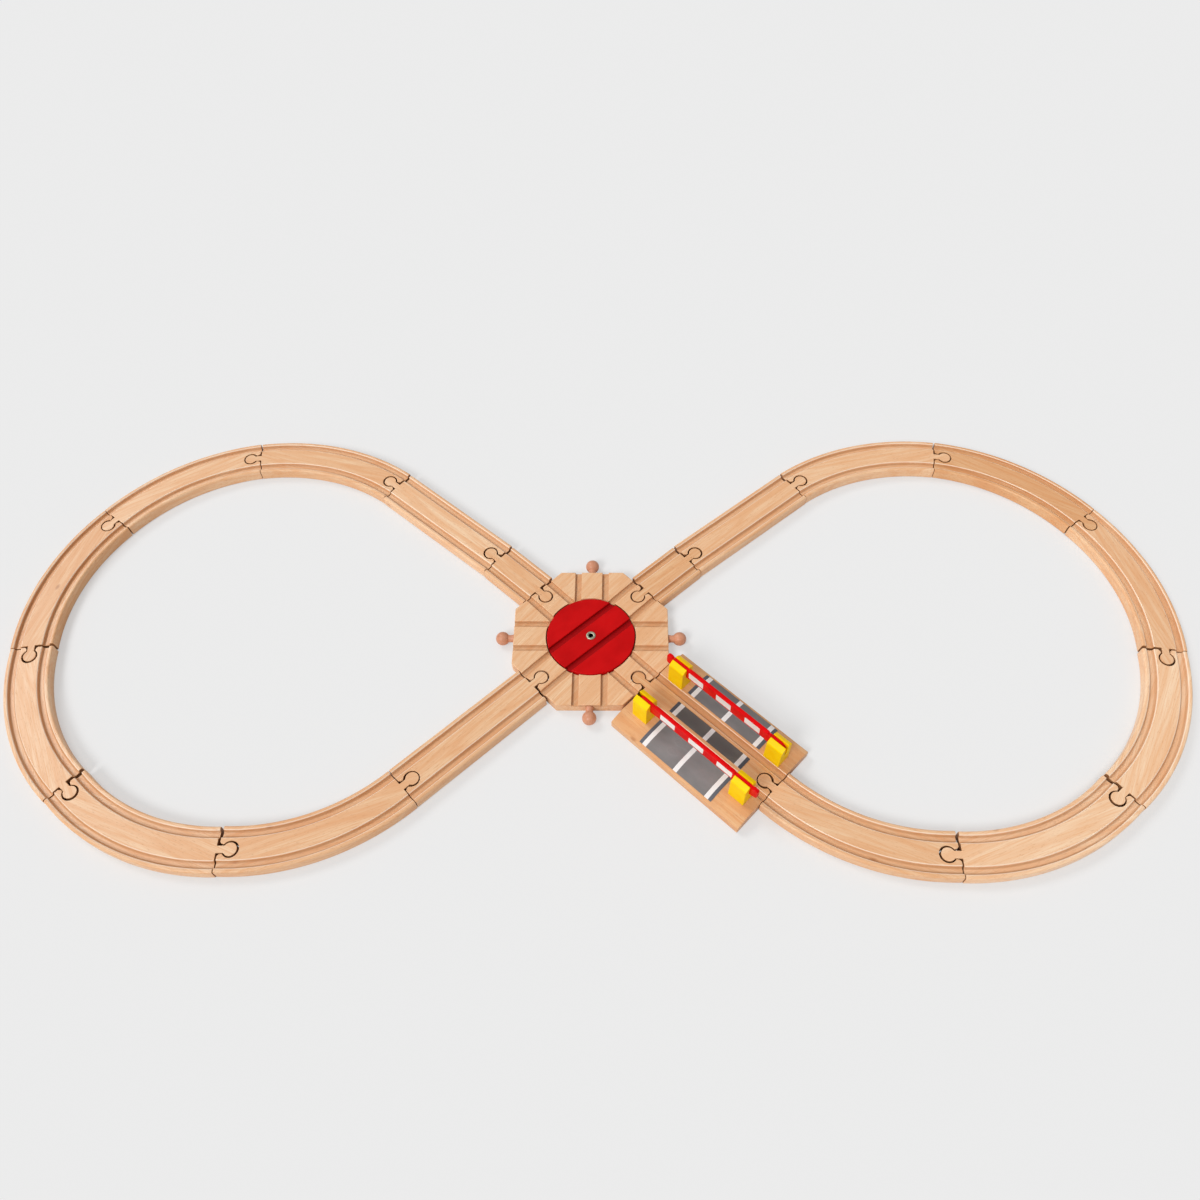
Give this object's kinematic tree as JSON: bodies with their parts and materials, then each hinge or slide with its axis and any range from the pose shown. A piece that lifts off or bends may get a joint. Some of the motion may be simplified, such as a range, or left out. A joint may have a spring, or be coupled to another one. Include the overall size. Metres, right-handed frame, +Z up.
{
  "type": "wooden train track",
  "caption": "Figure-eight layout of grooved wooden train track joined by pegs and sockets, with a turntable at the crossing and a level crossing with swinging barriers.",
  "frame": {"origin": "on the floor, in the middle of the layout's footprint", "axes": "+X to the right along the figure eight's length, +Y to the back, +Z up"},
  "size_m": [1.091, 0.4688, 0.0416],
  "materials": {
    "beech": "clear lacquered beech, milled grooves",
    "peg_beech": "turned beech, clear lacquer",
    "red_paint": "red gloss paint on beech",
    "rivet_metal": "pale brass, rolled over",
    "road_print": "printed grey film",
    "yellow_plastic": "moulded, glossy",
    "red_plastic": "moulded, glossy"
  },
  "bodies": {
    "turntable": {"turntable_base": "beech", "turntable_peg_north": "peg_beech", "turntable_peg_east": "peg_beech", "turntable_peg_south": "peg_beech", "turntable_peg_west": "peg_beech", "turntable_rivet": "rivet_metal"},
    "disc": {"turntable_disc": "red_paint"},
    "short_straight_left": {"short_straight_left": "beech"},
    "straight_upper_left": {"straight_upper_left": "beech"},
    "curve_left_1": {"curve_left_1": "beech"},
    "curve_left_2": {"curve_left_2": "beech"},
    "curve_left_3": {"curve_left_3": "beech"},
    "curve_left_4": {"curve_left_4": "beech"},
    "curve_left_5": {"curve_left_5": "beech"},
    "curve_left_6": {"curve_left_6": "beech"},
    "straight_lower_left": {"straight_lower_left": "beech"},
    "short_straight_right": {"short_straight_right": "beech"},
    "straight_upper_right": {"straight_upper_right": "beech"},
    "curve_right_1": {"curve_right_1": "beech"},
    "curve_right_2": {"curve_right_2": "beech"},
    "curve_right_3": {"curve_right_3": "beech"},
    "curve_right_4": {"curve_right_4": "beech"},
    "curve_right_5": {"curve_right_5": "beech"},
    "curve_right_6": {"curve_right_6": "beech"},
    "crossing": {"crossing_plate": "beech", "road_decal_front": "road_print", "road_decal_centre": "road_print", "road_decal_back": "road_print", "barrier_post_front_left": "yellow_plastic", "barrier_post_front_right": "yellow_plastic", "barrier_post_back_left": "yellow_plastic", "barrier_post_back_right": "yellow_plastic"},
    "barrier_front": {"barrier_arm_front": "red_plastic"},
    "barrier_back": {"barrier_arm_back": "red_plastic"}
  },
  "joints": [
    {"name": "barrier_back_swing", "type": "hinge", "parent": "crossing", "child": "barrier_back", "pos_m": [0.1607, -0.12894, 0.0341], "axis": [0.6823, 0.7311, 0], "range_deg": [0, 90]},
    {"name": "barrier_front_swing", "type": "hinge", "parent": "crossing", "child": "barrier_front", "pos_m": [0.04895, -0.08893, 0.0341], "axis": [-0.6823, -0.7311, 0], "range_deg": [0, 90]},
    {"name": "central_disc_turn", "type": "hinge", "parent": "turntable", "child": "disc", "pos_m": [0, -0.00815, 0.009], "axis": [0, 0, 1], "continuous": true},
    {"name": "crossing_lift", "type": "slide", "parent": "turntable", "child": "crossing", "axis": [0, 0, 1], "range_m": [0, 0.03]},
    {"name": "short_straight_left_lift", "type": "slide", "parent": "turntable", "child": "short_straight_left", "axis": [0, 0, 1], "range_m": [0, 0.03]},
    {"name": "straight_upper_left_lift", "type": "slide", "parent": "turntable", "child": "straight_upper_left", "axis": [0, 0, 1], "range_m": [0, 0.03]},
    {"name": "curve_left_1_lift", "type": "slide", "parent": "turntable", "child": "curve_left_1", "axis": [0, 0, 1], "range_m": [0, 0.03]},
    {"name": "curve_left_2_lift", "type": "slide", "parent": "turntable", "child": "curve_left_2", "axis": [0, 0, 1], "range_m": [0, 0.03]},
    {"name": "curve_left_3_lift", "type": "slide", "parent": "turntable", "child": "curve_left_3", "axis": [0, 0, 1], "range_m": [0, 0.03]},
    {"name": "curve_left_4_lift", "type": "slide", "parent": "turntable", "child": "curve_left_4", "axis": [0, 0, 1], "range_m": [0, 0.03]},
    {"name": "curve_left_5_lift", "type": "slide", "parent": "turntable", "child": "curve_left_5", "axis": [0, 0, 1], "range_m": [0, 0.03]},
    {"name": "curve_left_6_lift", "type": "slide", "parent": "turntable", "child": "curve_left_6", "axis": [0, 0, 1], "range_m": [0, 0.03]},
    {"name": "straight_lower_left_lift", "type": "slide", "parent": "turntable", "child": "straight_lower_left", "axis": [0, 0, 1], "range_m": [0, 0.03]},
    {"name": "short_straight_right_lift", "type": "slide", "parent": "turntable", "child": "short_straight_right", "axis": [0, 0, 1], "range_m": [0, 0.03]},
    {"name": "straight_upper_right_lift", "type": "slide", "parent": "turntable", "child": "straight_upper_right", "axis": [0, 0, 1], "range_m": [0, 0.03]},
    {"name": "curve_right_1_lift", "type": "slide", "parent": "turntable", "child": "curve_right_1", "axis": [0, 0, 1], "range_m": [0, 0.03]},
    {"name": "curve_right_2_lift", "type": "slide", "parent": "turntable", "child": "curve_right_2", "axis": [0, 0, 1], "range_m": [0, 0.03]},
    {"name": "curve_right_3_lift", "type": "slide", "parent": "turntable", "child": "curve_right_3", "axis": [0, 0, 1], "range_m": [0, 0.03]},
    {"name": "curve_right_4_lift", "type": "slide", "parent": "turntable", "child": "curve_right_4", "axis": [0, 0, 1], "range_m": [0, 0.03]},
    {"name": "curve_right_5_lift", "type": "slide", "parent": "turntable", "child": "curve_right_5", "axis": [0, 0, 1], "range_m": [0, 0.03]},
    {"name": "curve_right_6_lift", "type": "slide", "parent": "turntable", "child": "curve_right_6", "axis": [0, 0, 1], "range_m": [0, 0.03]}
  ]
}
